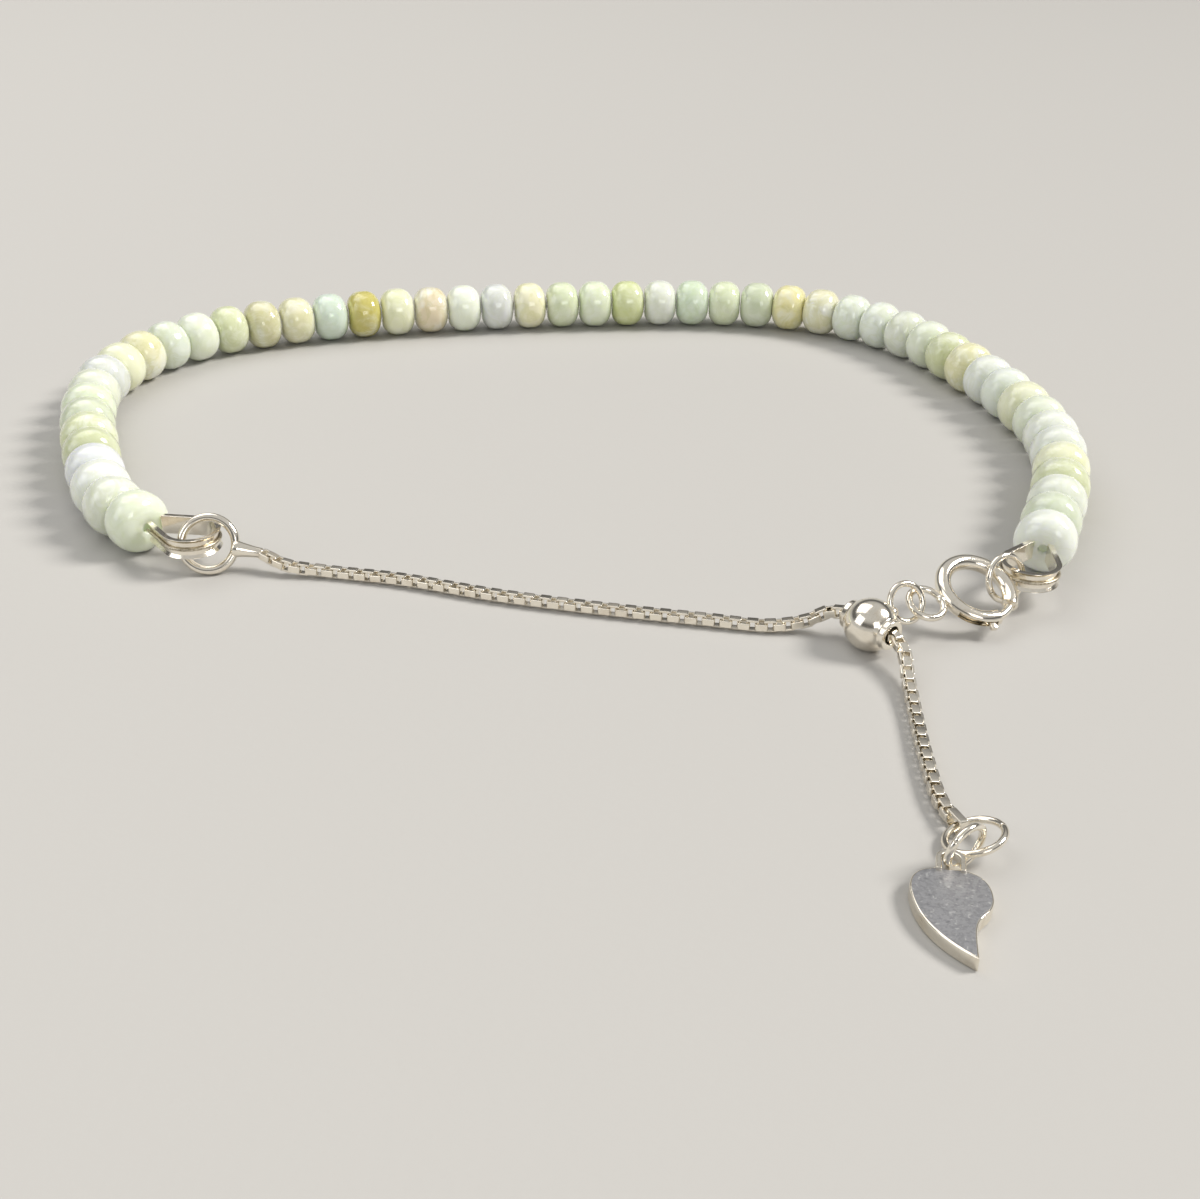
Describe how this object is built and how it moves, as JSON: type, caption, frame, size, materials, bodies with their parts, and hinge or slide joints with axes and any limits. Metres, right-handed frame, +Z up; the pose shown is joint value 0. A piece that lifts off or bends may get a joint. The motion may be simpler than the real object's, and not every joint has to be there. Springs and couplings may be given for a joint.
{
  "type": "beaded bracelet",
  "caption": "Bracelet of polished stone beads closed by a silver box chain with a sliding ball, a spring-ring clasp and a leaf-shaped tag on the chain's loose end.",
  "frame": {"origin": "middle of the footprint, on the surface that the bracelet lies on", "axes": "+Z up; -Y towards the clasp and the tag, +Y towards the back of the bead loop; X across the loop"},
  "size_m": [0.0798, 0.0908, 0.0043],
  "materials": {
    "bead_stone": "polished, slightly translucent, from white to yellow green",
    "silver": "polished silver, satin on the tag's faces"
  },
  "bodies": {
    "root": {"bead_string": "bead_stone", "left_thread_guard": "silver", "right_thread_guard": "silver", "chain_end_ring": "silver", "box_chain": "silver", "slider_ball": "silver", "clasp_body": "silver", "jump_ring": "silver", "tail_ring": "silver", "tag_ring": "silver", "leaf_tag": "silver"},
    "bolt": {"clasp_bolt": "silver"}
  },
  "joints": [
    {"name": "bolt_slide_round_the_ring", "type": "hinge", "parent": "root", "child": "bolt", "pos_m": [0.0269, -0.01318, 0.0021], "axis": [-0.2007, 0.3719, -0.9063], "range_deg": [0, 40], "stiffness_Nm_per_rad": 0.002, "springref_deg": -22.92}
  ]
}
